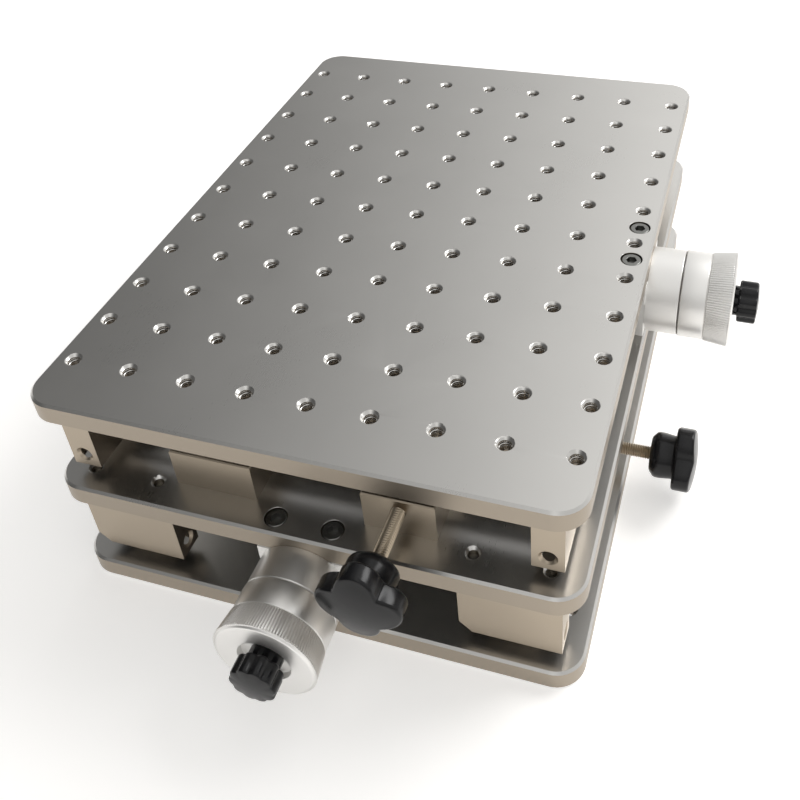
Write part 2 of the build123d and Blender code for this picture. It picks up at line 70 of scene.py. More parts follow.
def addCamera():
    lens = bpy.data.cameras.new("camera")
    lens.lens = cameraSetup["lens"]
    lens.sensor_width = cameraSetup["sensor"]
    lens.shift_x, lens.shift_y = cameraSetup["shift"]
    lens.clip_start = 0.01
    camera = bpy.data.objects.new("camera", lens)
    camera.location = [v * mm for v in cameraSetup["place"]]
    camera.rotation_euler = [math.radians(a) for a in cameraSetup["turn"]]
    scene.collection.objects.link(camera)
    scene.camera = camera


# Floor, sky and lamps. The sky is dim to the left and low in front, and bright elsewhere.
studio = {
    "floorSize": 8.0,  # m
    "floorColour": (0.94, 0.925, 0.905),
    "floorLift": 0.38,
    "skyAcross": [  # how far to the right a direction points, and its brightness
        (-0.75, 0.12), (-0.6, 0.15), (-0.45, 0.26), (-0.3, 0.47), (-0.15, 0.77), (-0.04, 1.1), (0.12, 1.1),
        (0.35, 0.72),
    ],
    "skyTint": (1.0, 0.995, 0.98),
    "frontDim": 0.45,
    "lamps": [
        {"name": "keyLamp", "place": (1.05, 0.85, 1.35), "size": 0.9, "watts": 16.0},
    ],
}


# Adds a little light of the floor's own where it is seen, so that it ends up white and keeps its shadows
def liftFloor(paint):
    nodes, links = paint.node_tree.nodes, paint.node_tree.links
    path = nodes.new("ShaderNodeLightPath")
    seen = path.outputs["Is Camera Ray"]
    for ray in ("Is Glossy Ray", "Is Transmission Ray"):
        either = nodes.new("ShaderNodeMath")
        either.operation = "MAXIMUM"
        links.new(seen, either.inputs[0])
        links.new(path.outputs[ray], either.inputs[1])
        seen = either.outputs[0]
    amount = nodes.new("ShaderNodeMath")
    amount.operation = "MULTIPLY"
    amount.inputs[1].default_value = studio["floorLift"]
    links.new(seen, amount.inputs[0])
    glow = nodes.new("ShaderNodeEmission")
    links.new(amount.outputs[0], glow.inputs["Strength"])
    both = nodes.new("ShaderNodeAddShader")
    links.new(nodes["Principled BSDF"].outputs[0], both.inputs[0])
    links.new(glow.outputs[0], both.inputs[1])
    links.new(both.outputs[0], nodes["Material Output"].inputs["Surface"])


def addStudio():
    mesh = bpy.data.meshes.new("floor")
    half = studio["floorSize"] / 2
    corners = [(-half, -half, 0), (half, -half, 0), (half, half, 0), (-half, half, 0)]
    mesh.from_pydata(corners, [], [(0, 1, 2, 3)])
    floor = bpy.data.objects.new("floor", mesh)
    floor.location.z = -0.2 * mm
    scene.collection.objects.link(floor)
    paint = bpy.data.materials.new("floorPaint")
    paint.use_nodes = True
    shader = paint.node_tree.nodes["Principled BSDF"]
    shader.inputs["Base Color"].default_value = (*studio["floorColour"], 1)
    shader.inputs["Roughness"].default_value = 0.9
    shader.inputs["Specular IOR Level"].default_value = 0.1
    liftFloor(paint)
    mesh.materials.append(paint)

    sky = bpy.data.worlds.new("sky")
    sky.use_nodes = True
    scene.world = sky
    nodes, links = sky.node_tree.nodes, sky.node_tree.links
    place = nodes.new("ShaderNodeTexCoord")
    split = nodes.new("ShaderNodeSeparateXYZ")
    links.new(place.outputs["Generated"], split.inputs[0])
    across = nodes.new("ShaderNodeMapRange")
    across.inputs["From Min"].default_value = -1.0
    links.new(split.outputs["X"], across.inputs["Value"])
    ramp = nodes.new("ShaderNodeValToRGB")
    stops = ramp.color_ramp.elements
    while len(stops) < len(studio["skyAcross"]):
        stops.new(0.5)
    for stop, (reach, level) in zip(stops, studio["skyAcross"]):
        stop.position = (reach + 1) / 2
        stop.color = (*[level * c for c in studio["skyTint"]], 1)
    links.new(across.outputs[0], ramp.inputs[0])
    front = nodes.new("ShaderNodeMath")
    front.operation = "MULTIPLY_ADD"
    front.inputs[1].default_value = 0.6
    links.new(split.outputs["Y"], front.inputs[0])
    links.new(split.outputs["Z"], front.inputs[2])
    dim = nodes.new("ShaderNodeMapRange")
    dim.inputs["From Min"].default_value = -0.6
    dim.inputs["From Max"].default_value = 0.25
    dim.inputs["To Min"].default_value = studio["frontDim"]
    links.new(front.outputs[0], dim.inputs["Value"])
    links.new(ramp.outputs[0], nodes["Background"].inputs["Color"])
    links.new(dim.outputs[0], nodes["Background"].inputs["Strength"])

    for setup in studio["lamps"]:
        light = bpy.data.lights.new(setup["name"], "AREA")
        light.size = setup["size"]
        light.energy = setup["watts"]
        lamp = bpy.data.objects.new(setup["name"], light)
        lamp.location = setup["place"]
        lamp.rotation_euler = (-Vector(setup["place"])).to_track_quat("-Z", "Y").to_euler()
        scene.collection.objects.link(lamp)
    scene.view_settings.view_transform = "Standard"


# Finishes. Each is a node tree on object coordinates; sizes of its detail are in metres.
class Finish:
    def __init__(self, name, colour, roughness, metallic):
        self.material = bpy.data.materials.new(name)
        self.material.use_nodes = True
        self.nodes = self.material.node_tree.nodes
        self.links = self.material.node_tree.links
        self.shader = self.nodes["Principled BSDF"]
        self.shader.inputs["Metallic"].default_value = metallic
        self.shader.inputs["Roughness"].default_value = roughness
        self.shader.inputs["Base Color"].default_value = (*colour, 1)
        self.colour = colour
        coordinates = self.nodes.new("ShaderNodeTexCoord")
        self.place = coordinates.outputs["Object"]
        self.facing = coordinates.outputs["Normal"]

    def noise(self, feature, detail=2.0, stretch=(1, 1, 1)):
        mapping = self.nodes.new("ShaderNodeMapping")
        mapping.inputs["Scale"].default_value = [1 / (feature * s) for s in stretch]
        noise = self.nodes.new("ShaderNodeTexNoise")
        noise.inputs["Scale"].default_value = 1.0
        noise.inputs["Detail"].default_value = detail
        self.links.new(self.place, mapping.inputs["Vector"])
        self.links.new(mapping.outputs[0], noise.inputs["Vector"])
        return noise.outputs["Fac"]

    def spread(self, value, low, high, fromLow=0.3, fromHigh=0.7):
        node = self.nodes.new("ShaderNodeMapRange")
        node.inputs["From Min"].default_value = fromLow
        node.inputs["From Max"].default_value = fromHigh
        node.inputs["To Min"].default_value = low
        node.inputs["To Max"].default_value = high
        self.links.new(value, node.inputs["Value"])
        return node.outputs[0]

    def blend(self, first, second, share=0.5):
        node = self.nodes.new("ShaderNodeMix")
        node.inputs["Factor"].default_value = share
        self.links.new(first, node.inputs["A"])
        self.links.new(second, node.inputs["B"])
        return node.outputs["Result"]

    def tint(self, value, dark, light):
        ramp = self.nodes.new("ShaderNodeValToRGB")
        ramp.color_ramp.elements[0].position = 0.3
        ramp.color_ramp.elements[0].color = (*[c * dark for c in self.colour], 1)
        ramp.color_ramp.elements[1].position = 0.7
        ramp.color_ramp.elements[1].color = (*[c * light for c in self.colour], 1)
        self.links.new(value, ramp.inputs[0])
        self.links.new(ramp.outputs[0], self.shader.inputs["Base Color"])

    def rough(self, value, low, high):
        self.links.new(self.spread(value, low, high), self.shader.inputs["Roughness"])

    def bump(self, value, height, strength=1.0):
        bump = self.nodes.new("ShaderNodeBump")
        bump.inputs["Strength"].default_value = strength
        bump.inputs["Distance"].default_value = height
        self.links.new(value, bump.inputs["Height"])
        self.links.new(bump.outputs[0], self.shader.inputs["Normal"])


    # Upright faces take another roughness than level ones, and a darker tan colour that is a painted
    # reflection of a warm floor
    def paintUprightReflectionAndRoughness(self, colour, roughness):
        split = self.nodes.new("ShaderNodeSeparateXYZ")
        self.links.new(self.facing, split.inputs[0])
        size = self.nodes.new("ShaderNodeMath")
        size.operation = "ABSOLUTE"
        self.links.new(split.outputs["Z"], size.inputs[0])
        level = self.spread(size.outputs[0], 0.0, 1.0, 0.1, 0.35)
        for name, value in (("Base Color", (*colour, 1)), ("Roughness", roughness)):
            socket = self.shader.inputs[name]
            mix = self.nodes.new("ShaderNodeMix")
            mix.data_type = "RGBA" if name == "Base Color" else "FLOAT"
            sockets = [s for s in mix.inputs if s.enabled]
            sockets[1].default_value = value
            self.links.new(level, sockets[0])
            self.links.new(socket.links[0].from_socket, sockets[2])
            self.links.new([s for s in mix.outputs if s.enabled][0], socket)


def satinAluminium(name, colour, low, high, streak, uprightReflectionPaint=None):
    finish = Finish(name, colour, (low + high) / 2, 1.0)
    clouds = finish.noise(0.045, 3.0)
    grain = finish.noise(0.00035, 2.0, streak)
    finish.tint(clouds, 0.985, 1.015)
    finish.rough(finish.blend(clouds, grain, 0.4), low, high)
    finish.bump(grain, 0.000002, 0.12)
    # the upright faces' darker tan colour is a painted reflection of a warm floor
    if uprightReflectionPaint:
        finish.paintUprightReflectionAndRoughness(uprightReflectionPaint, high + 0.08)
    return finish.material


def turnedAluminium(name, colour, along):
    finish = Finish(name, colour, 0.38, 1.0)
    stretch = [40.0, 40.0, 40.0]
    stretch[along] = 1.0
    rings = finish.noise(0.0003, 2.0, stretch)
    clouds = finish.noise(0.02, 2.0)
    finish.tint(clouds, 0.985, 1.015)
    finish.rough(finish.blend(clouds, rings, 0.5), 0.35, 0.42)
    finish.bump(rings, 0.000004, 0.2)
    return finish.material


def plainMetal(name, colour, low, high, feature=0.002, height=0.000004):
    finish = Finish(name, colour, (low + high) / 2, 1.0)
    wear = finish.noise(feature * 6, 3.0)
    grain = finish.noise(feature / 6, 2.0)
    finish.tint(wear, 0.9, 1.08)
    finish.rough(finish.blend(wear, grain), low, high)
    finish.bump(grain, height, 0.6)
    return finish.material


def mouldedPlastic(name, colour):
    finish = Finish(name, colour, 0.2, 0.0)
    finish.shader.inputs["Specular IOR Level"].default_value = 0.3
    flow = finish.noise(0.006, 2.0)
    peel = finish.noise(0.0008, 2.0)
    finish.tint(flow, 0.8, 1.3)
    finish.rough(flow, 0.16, 0.26)
    finish.bump(peel, 0.00001, 0.4)
    return finish.material


finishes = {
    # the plate's upright faces get a darker tan colour, a painted reflection of a warm floor
    "anodised_plate": satinAluminium(
        "anodisedPlate", (0.66, 0.65, 0.63), 0.27, 0.31, (1, 12, 1), uprightReflectionPaint=(0.37, 0.32, 0.26)),
    # aluminium blocks; their warm tan colour is a painted reflection of a warm floor, not the metal's own
    "milled_aluminium": satinAluminium("milledAluminium", (0.44, 0.375, 0.295), 0.32, 0.4, (6, 6, 1)),
    "turned_x": turnedAluminium("turnedAluminiumX", (0.86, 0.85, 0.83), 0),
    "turned_y": turnedAluminium("turnedAluminiumY", (0.86, 0.85, 0.83), 1),
    "ground_steel": plainMetal("groundSteel", (0.62, 0.62, 0.63), 0.12, 0.22),
    "screw_steel": plainMetal("screwSteel", (0.5, 0.5, 0.5), 0.25, 0.4),
    "stud_steel": plainMetal("studSteel", (0.44, 0.37, 0.28), 0.25, 0.38),
    "bronze": plainMetal("bronze", (0.6, 0.4, 0.2), 0.3, 0.45),
    "brass": plainMetal("brass", (0.75, 0.58, 0.3), 0.25, 0.4),
    "black_oxide_steel": plainMetal("blackOxide", (0.24, 0.24, 0.23), 0.24, 0.38),
    "black_plastic": mouldedPlastic("blackPlastic", (0.007, 0.007, 0.008)),
}
print("finishes made:", len(finishes))


def finishOf(node):
    slot = slotOf[node]
    if slot == "turned_aluminium":
        return finishes["turned_" + node[0]]
    return finishes[slot]


# Mesh helpers
def newPiece(name, mesh, material):
    piece = bpy.data.objects.new(name, mesh)
    scene.collection.objects.link(piece)
    mesh.materials.clear()
    mesh.materials.append(material)
    return piece


def smoothByAngle(mesh, degrees):
    mesh.shade_smooth()
    mesh.set_sharp_from_angle(angle=math.radians(degrees))


def standIn(piece, node):
    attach(piece, bodyOf[node])
    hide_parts(node)


def baked(source, name):
    graph = bpy.context.evaluated_depsgraph_get()
    mesh = bpy.data.meshes.new_from_object(source.evaluated_get(graph), depsgraph=graph)
    mesh.name = name
    return mesh


# A matrix that lays local +Z along a level direction, at a point in mm, with local +Y upward
def layAlong(point, direction):
    zAxis = Vector(direction).normalized()
    yAxis = Vector((0, 0, 1))
    xAxis = yAxis.cross(zAxis).normalized()
    turn = Matrix((xAxis, yAxis, zAxis)).transposed().to_4x4()
    return Matrix.Translation(Vector(point) * mm) @ turn @ Matrix.Scale(mm, 4)


# Rounds the corners of a lathe profile given as (along, radius) points
def roundedProfile(points, radius, steps=3):
    out = []
    count = len(points)
    for i, point in enumerate(points):
        here = Vector(point)
        if point[1] == 0 or i in (0, count - 1):
            out.append(here)
            continue
        back = Vector(points[i - 1]) - here
        ahead = Vector(points[i + 1]) - here
        reach = min(radius, back.length * 0.45, ahead.length * 0.45)
        start = here + back.normalized() * reach
        end = here + ahead.normalized() * reach
        for k in range(steps + 1):
            t = k / steps
            out.append(start * (1 - t) ** 2 + here * 2 * t * (1 - t) + end * t ** 2)
    return out


# A solid of revolution about local Z; the profile runs from the axis out and back to it,
# or is a closed ring when it never meets the axis.
def latheMesh(name, profile, segments):
    mesh = bmesh.new()
    ring = all(point[1] > 0 for point in profile)
    columns = []
    for s in range(segments):
        turn = 2 * math.pi * s / segments
        columns.append([
            mesh.verts.new((r * math.cos(turn), r * math.sin(turn), z)) if r > 0 else None for z, r in profile
        ])
    poles = [mesh.verts.new((0, 0, z)) if r == 0 else None for z, r in profile]
    rows = len(profile)
    for s in range(segments):
        here, after = columns[s], columns[(s + 1) % segments]
        for i in range(rows if ring else rows - 1):
            j = (i + 1) % rows
            corners = [here[i] or poles[i], after[i] or poles[i], after[j] or poles[j], here[j] or poles[j]]
            face = [v for k, v in enumerate(corners) if v not in corners[:k]]
            if len(face) > 2:
                mesh.faces.new(face)
    bmesh.ops.recalc_face_normals(mesh, faces=mesh.faces)
    out = bpy.data.meshes.new(name)
    mesh.to_mesh(out)
    mesh.free()
    return out


# Joins rings of vertices, each with the next, into one closed mesh; a ring of one vertex is a pole
def closedRings(name, work, rings, segments):
    for near, far in zip(rings, rings[1:]):
        for s in range(segments):
            t = (s + 1) % segments
            if len(far) == 1:
                work.faces.new((near[s], near[t], far[0]))
            elif len(near) == 1:
                work.faces.new((near[0], far[t], far[s]))
            else:
                work.faces.new((near[s], near[t], far[t], far[s]))
    if len(rings[0]) > 1:
        work.faces.new(rings[0][::-1])
    bmesh.ops.recalc_face_normals(work, faces=work.faces)
    out = bpy.data.meshes.new(name)
    work.to_mesh(out)
    work.free()
    return out


# A closed shape of rings along local Z. A function of the angle shapes each row (along, radius, share),
# and a row without a radius is a pole.
def ringedMesh(name, rows, shape, segments):
    work = bmesh.new()
    rings = []
    for along, radius, share in rows:
        if radius is None:
            rings.append([work.verts.new((0, 0, along))])
            continue
        ring = []
        for s in range(segments):
            turn = 2 * math.pi * s / segments
            reach, height = shape(turn, radius, share, along)
            ring.append(work.verts.new((reach * math.cos(turn), reach * math.sin(turn), height)))
        rings.append(ring)
    return closedRings(name, work, rings, segments)


def placed(mesh, matrix):
    mesh.transform(matrix)
    return mesh


# CAD shapes kept as they are, with merged corners, smooth round faces and small rounded edges
dressing = {
    "edgeRadius": 0.4,  # mm
    "edgeAngle": 40.0,
    "edgeSegments": 2,
    "rimRadius": 0.3,
    "rimAngle": 65.0,
    "headRadius": 0.12,
    "mergeDistance": 1e-6,  # m
    "flatAngle": 0.5,
    "smoothAngle": 30.0,
    "flatWeight": 100,
}


def dressNode(node, edgeRadius, edgeAngle):
    work = bmesh.new()
    work.from_mesh(frame["nodes"][node].data)
    bmesh.ops.remove_doubles(work, verts=work.verts, dist=dressing["mergeDistance"])
    flat = math.radians(dressing["flatAngle"])
    bmesh.ops.dissolve_limit(work, angle_limit=flat, verts=work.verts, edges=work.edges)
    mesh = bpy.data.meshes.new(node + "Dressed")
    work.to_mesh(mesh)
    work.free()
    smoothByAngle(mesh, dressing["smoothAngle"])
    piece = newPiece(node + "Dressed", mesh, finishOf(node))
    if edgeRadius:
        bevel = piece.modifiers.new("edges", "BEVEL")
        bevel.width = edgeRadius * mm
        bevel.segments = dressing["edgeSegments"]
        bevel.limit_method = "ANGLE"
        bevel.angle_limit = math.radians(edgeAngle)
        flats = piece.modifiers.new("flats", "WEIGHTED_NORMAL")
        flats.keep_sharp = True
        flats.weight = dressing["flatWeight"]
        rounded = baked(piece, node + "Dressed")
        piece.modifiers.clear()
        piece.data = rounded
    standIn(piece, node)


def dressNodes():
    for node in sorted(frame["nodes"]):
        rest = node[2:]
        if node.endswith("_plate"):
            dressNode(node, dressing["rimRadius"], dressing["rimAngle"])
        elif "block" in rest and "screws" not in rest:
            dressNode(node, dressing["edgeRadius"], dressing["edgeAngle"])
        elif rest == "handwheel_bracket":
            dressNode(node, dressing["edgeRadius"], dressing["edgeAngle"])
        elif rest.endswith(("block_screws", "bracket_screws")):
            dressNode(node, dressing["headRadius"], dressing["edgeAngle"])
        elif rest.startswith("guide_rod"):
            dressNode(node, 0, dressing["edgeAngle"])
        else:
            piece = frame["nodes"][node]
            piece.data.materials.clear()
            piece.data.materials.append(finishOf(node))


# Turned handwheel with a knurled rim
handwheel = {
    "bossStart": 13.0,  # mm from the plate's edge
    "bossRadius": 5.3,
    "boreRadius": 4.02,
    "sleeveStart": 14.3,
    "sleeveRadius": 19.0,
    "rimStart": 25.0,
    "rimRadius": 20.3,
    "rimEnd": 36.0,
    "rimRound": 1.3,
    "grooveWidth": 0.5,
    "grooveDepth": 0.35,
    "recessRadius": 10.5,
    "recessFloor": 33.0,
    "knurlCount": 120,
    "knurlSize": 0.45,
    "knurlStart": 25.4,
    "knurlEnd": 35.3,
    "knurlSunk": (0.1, 0.2),  # below the surface at the knurl's start and end
    "edge": 0.4,
    "segments": 128,
    "smoothAngle": 35.0,
}


def socketIds(tree):
    return {item.name: item.identifier for item in tree.interface.items_tree if item.in_out == "INPUT"}


def addInput(tree, name, kind, value):
    item = tree.interface.new_socket(name, in_out="INPUT", socket_type=kind)
    item.default_value = value


# Bars laid from one radius to another about local Z, as often as asked
def knurlTree(material):
    tree = bpy.data.node_groups.new("knurlBars", "GeometryNodeTree")
    tree.interface.new_socket("Geometry", in_out="INPUT", socket_type="NodeSocketGeometry")
    addInput(tree, "count", "NodeSocketInt", 100)
    for name in ("startRadius", "endRadius", "start", "end", "size"):
        addInput(tree, name, "NodeSocketFloat", 1.0)
    tree.interface.new_socket("Geometry", in_out="OUTPUT", socket_type="NodeSocketGeometry")
    nodes, links = tree.nodes, tree.links
    given = nodes.new("NodeGroupInput")
    first = nodes.new("ShaderNodeCombineXYZ")
    last = nodes.new("ShaderNodeCombineXYZ")
    links.new(given.outputs["startRadius"], first.inputs["X"])
    links.new(given.outputs["start"], first.inputs["Z"])
    links.new(given.outputs["endRadius"], last.inputs["X"])
    links.new(given.outputs["end"], last.inputs["Z"])
    line = nodes.new("GeometryNodeCurvePrimitiveLine")
    links.new(first.outputs[0], line.inputs["Start"])
    links.new(last.outputs[0], line.inputs["End"])
    section = nodes.new("GeometryNodeCurvePrimitiveCircle")
    section.inputs["Resolution"].default_value = 8
    links.new(given.outputs["size"], section.inputs["Radius"])
    bar = nodes.new("GeometryNodeCurveToMesh")
    bar.inputs["Fill Caps"].default_value = True
    links.new(line.outputs[0], bar.inputs["Curve"])
    links.new(section.outputs[0], bar.inputs["Profile Curve"])
    points = nodes.new("GeometryNodeMeshLine")
    links.new(given.outputs["count"], points.inputs["Count"])
    points.inputs["Offset"].default_value = (0, 0, 0)
    index = nodes.new("GeometryNodeInputIndex")
    share = nodes.new("ShaderNodeMath")
    share.operation = "DIVIDE"
    links.new(index.outputs[0], share.inputs[0])
    links.new(given.outputs["count"], share.inputs[1])
    angle = nodes.new("ShaderNodeMath")
    angle.operation = "MULTIPLY"
    angle.inputs[1].default_value = 2 * math.pi
    links.new(share.outputs[0], angle.inputs[0])
    turn = nodes.new("ShaderNodeCombineXYZ")
    links.new(angle.outputs[0], turn.inputs["Z"])
    copies = nodes.new("GeometryNodeInstanceOnPoints")
    links.new(points.outputs[0], copies.inputs["Points"])
    links.new(bar.outputs[0], copies.inputs["Instance"])
    links.new(turn.outputs[0], copies.inputs["Rotation"])
    real = nodes.new("GeometryNodeRealizeInstances")
    paint = nodes.new("GeometryNodeSetMaterial")
    paint.inputs["Material"].default_value = material
    result = nodes.new("NodeGroupOutput")
    links.new(copies.outputs[0], real.inputs[0])
    links.new(real.outputs[0], paint.inputs["Geometry"])
    links.new(paint.outputs[0], result.inputs[0])
    return tree


def runTree(tree, name, settings, mesh=None):
    holder = bpy.data.objects.new(name, mesh or bpy.data.meshes.new(name))
    scene.collection.objects.link(holder)
    modifier = holder.modifiers.new("pattern", "NODES")
    modifier.node_group = tree
    ids = socketIds(tree)
    for key, value in settings.items():
        modifier[ids[key]] = value
    result = baked(holder, name)
    holder.modifiers.clear()
    bpy.data.objects.remove(holder)
    return result


def joined(name, meshes):
    work = bmesh.new()
    for mesh in meshes:
        work.from_mesh(mesh)
    out = bpy.data.meshes.new(name)
    work.to_mesh(out)
    work.free()
    return out


def addHandwheel(stage):
    w = handwheel
    node = stage + "_handwheel"
    groove = w["grooveWidth"] / 2
    profile = roundedProfile([
        (w["recessFloor"], w["boreRadius"]),
        (w["bossStart"], w["boreRadius"]),
        (w["bossStart"], w["bossRadius"]),
        (w["sleeveStart"], w["bossRadius"]),
        (w["sleeveStart"], w["sleeveRadius"]),
        (w["rimStart"] - groove, w["sleeveRadius"]),
        (w["rimStart"], w["sleeveRadius"] - w["grooveDepth"]),
        (w["rimStart"] + groove, w["sleeveRadius"]),
        (w["rimEnd"] - w["rimRound"], w["rimRadius"]),
        (w["rimEnd"], w["rimRadius"] - w["rimRound"]),
        (w["rimEnd"], w["recessRadius"]),
        (w["recessFloor"], w["recessRadius"]),
        (w["recessFloor"], w["boreRadius"]),
    ], w["edge"])
    body = latheMesh(node + "Body", profile[:-1], w["segments"])
    settings = {
        "count": w["knurlCount"],
        "size": w["knurlSize"],
        "start": w["knurlStart"],
        "end": w["knurlEnd"],
        "startRadius": w["sleeveRadius"] - w["knurlSunk"][0],
        "endRadius": w["rimRadius"] - w["knurlSunk"][1],
    }
    bars = runTree(knurlTree(finishOf(node)), node + "Knurl", settings)
    mesh = joined(node + "Turned", [body, bars])
    piece = newPiece(node + "Turned", placed(mesh, wheelPlace(stage)), finishOf(node))
    smoothByAngle(piece.data, w["smoothAngle"])
    standIn(piece, node)


# The lead screw's axis, counted from the plate's edge and pointing out of it
def wheelPlace(stage):
    joint = jointOf[stage + "_screw_turn"]
    direction = {"x": (1, 0, 0), "y": (0, -1, 0)}[stage]
    return layAlong(Vector(joint["pos_m"]) / mm, direction)


# Black fluted nut that holds the handwheel
wheelNut = {
    "neckStart": 33.0,  # mm from the plate's edge
    "boreRadius": 3.02,
    "neckRadius": 6.5,
    "neckRound": (0.2, 0.3),  # along the neck, and outward
    "headStart": 38.0,
    "headRadius": 9.25,
    "headEnd": 46.5,
    "crown": 0.7,
    "crownRows": [(0.35, 0.62), (0.08, 0.3)],  # depth below the end, and share of the head's radius
    "flutes": 10,
    "fluteDepth": 0.95,
    "fluteSharpness": 1.6,
    "edge": 0.9,
    "edgeSteps": 4,
    "segments": 160,
    "smoothAngle": 50.0,
}


# The last value of each row is the share of the flutes' depth there.
def addWheelNut(stage):
    n = wheelNut
    node = stage + "_wheel_nut"
    start, radius, edge, steps = n["headStart"], n["headRadius"], n["edge"], n["edgeSteps"]
    shoulder = n["headEnd"] - n["crown"]
    rows = [
        (n["neckStart"], n["boreRadius"], 0),
        (n["neckStart"], n["neckRadius"], 0),
        (start - n["neckRound"][0], n["neckRadius"], 0),
        (start, n["neckRadius"] + n["neckRound"][1], 0.1),
        (start, radius - edge, 0.6),
    ]
    for k in range(1, steps + 1):
        turn = math.pi / 2 * k / steps
        rows.append((start + edge * (1 - math.cos(turn)), radius - edge * (1 - math.sin(turn)), 1))
    for k in range(steps + 1):
        turn = math.pi / 2 * k / steps
        along = shoulder - edge * (1 - math.sin(turn))
        rows.append((along, radius - edge * (1 - math.cos(turn)), 1 - 0.5 * k / steps))
    rows += [(n["headEnd"] - depth, radius * share, 0.0) for depth, share in n["crownRows"]]
    rows.append((n["headEnd"], None, 0))

    def fluted(turn, radius, share, along):
        wave = 0.5 + 0.5 * math.cos(n["flutes"] * turn)
        return radius - share * n["fluteDepth"] * (1 - wave) ** n["fluteSharpness"], along

    mesh = ringedMesh(node + "Moulded", rows, fluted, n["segments"])
    piece = newPiece(node + "Moulded", placed(mesh, wheelPlace(stage)), finishOf(node))
    smoothByAngle(piece.data, n["smoothAngle"])
    standIn(piece, node)


# Star knob: a round hub and a head of four lobes with a crowned face
starKnob = {
    "hubStart": 38.0,  # mm from the middle of the guide rod
    "hubEndRadius": 7.8,
    "hubRadius": 9.95,
    "hubBevel": 2.6,
    "neckRadius": 9.3,
    "headStart": 48.4,
    "headEnd": 58.0,
    "reach": 15.95,
    "crown": 2.4,
    "lobeRadius": 7.0,
    "lobes": 4,
    "valleyRadius": 11.3,
    "valleySoft": 1.2,
    "edge": 1.3,
    "edgeSteps": 5,
    "faceShares": (0.85, 0.7, 0.55, 0.4, 0.25, 0.12),
    "segments": 192,
    "smoothAngle": 50.0,
}


# How far the head reaches from the axis at an angle, with soft valleys between the lobes
def lobeReach(turn):
    k = starKnob
    step = 2 * math.pi / k["lobes"]
    off = (turn + step / 2) % step - step / 2
    centre = k["reach"] - k["lobeRadius"]
    inside = max(k["lobeRadius"] ** 2 - (centre * math.sin(off)) ** 2, 0.0)
    lobe = centre * math.cos(off) + math.sqrt(inside)
    valley = k["valleyRadius"] / k["valleySoft"]
    blend = math.log(math.exp(lobe / k["valleySoft"]) + math.exp(valley)) * k["valleySoft"]
    return min(blend, k["reach"])


# How high the crowned face stands at a distance from the axis
def crownHeight(reach):
    k = starKnob
    return k["headEnd"] - k["crown"] * (reach / k["reach"]) ** 2


# The last value of each row says which part of the knob it belongs to.
def addStarKnob(stage):
    k = starKnob
    node = stage + "_lock_knob"
    hub, head, bevel, e = k["hubStart"], k["headStart"], k["hubBevel"], k["edge"]
    hubProfile = [
        (hub + 0.05, 3.1),
        (hub, 3.6),
        (hub, k["hubEndRadius"] - 0.8),
        (hub + 0.25, k["hubEndRadius"] - 0.2),
        (hub + bevel - 0.6, k["hubRadius"] - 0.35),
        (hub + bevel + 0.5, k["hubRadius"]),
        (hub + 2 * bevel, k["hubRadius"] - 0.02),
        (head - 0.8, k["neckRadius"] + 0.1),
        (head - 0.2, k["neckRadius"] + 0.25),
        (head, k["neckRadius"] + 0.6),
    ]
    rows = [(along, radius, "hub") for along, radius in hubProfile]
    turns = [math.pi / 2 * i / k["edgeSteps"] for i in range(k["edgeSteps"] + 1)]
    rows += [(head + e * (1 - math.cos(turn)), e * (1 - math.sin(turn)), "backEdge") for turn in turns]
    rows += [(-e * (1 - math.sin(turn)), e * (1 - math.cos(turn)), "faceEdge") for turn in turns]
    rows += [(0.0, share, "face") for share in k["faceShares"]]
    rows.append((k["headEnd"], None, "face"))

    def lobed(turn, radius, part, along):
        if part == "hub":
            return radius, along
        if part == "face":
            reach = (lobeReach(turn) - e) * radius
            return reach, crownHeight(reach)
        reach = lobeReach(turn) - radius
        if part == "backEdge":
            return reach, along
        return reach, crownHeight(lobeReach(turn) - e) + along

    mesh = ringedMesh(node + "Moulded", rows, lobed, k["segments"])
    piece = newPiece(node + "Moulded", placed(mesh, lockPlace(stage)), finishOf(node))
    smoothByAngle(piece.data, k["smoothAngle"])
    standIn(piece, node)


# The lock's axis, counted from the middle of the guide rod and pointing out of the clamp block
def lockPlace(stage):
    joint = jointOf[stage + "_lock_turn"]
    outward = -Vector(joint["axis"])
    start = Vector(joint["pos_m"]) / mm - outward * starKnob["hubStart"]
    return layAlong(start, outward)


# Threaded bars: lock studs and lead screws
lockStud = {
    "start": 8.3,  # mm from the middle of the guide rod
    "end": 50.0,
    "radius": 2.98,
    "depth": 0.55,
    "pitch": 1.0,
    "flat": 0.0,
    "rowsPerTurn": 6,
    "segments": 28,
    "smoothAngle": 60.0,
}
leadThread = {
    "radius": 4.98,
    "depth": 0.9,
    "pitch": 4.0,
    "flat": 0.5,
    "rowsPerTurn": 14,
    "segments": 32,
    "smoothAngle": 40.0,
}
leadScrew = {  # mm along the screw, from the plate's edge
    "journalRadius": 4.0,
    "threadEnd": -15.0,
    "seat": 32.7,
    "tipRadius": 3.0,
    "farJournal": 6.0,
    "segments": 48,
}


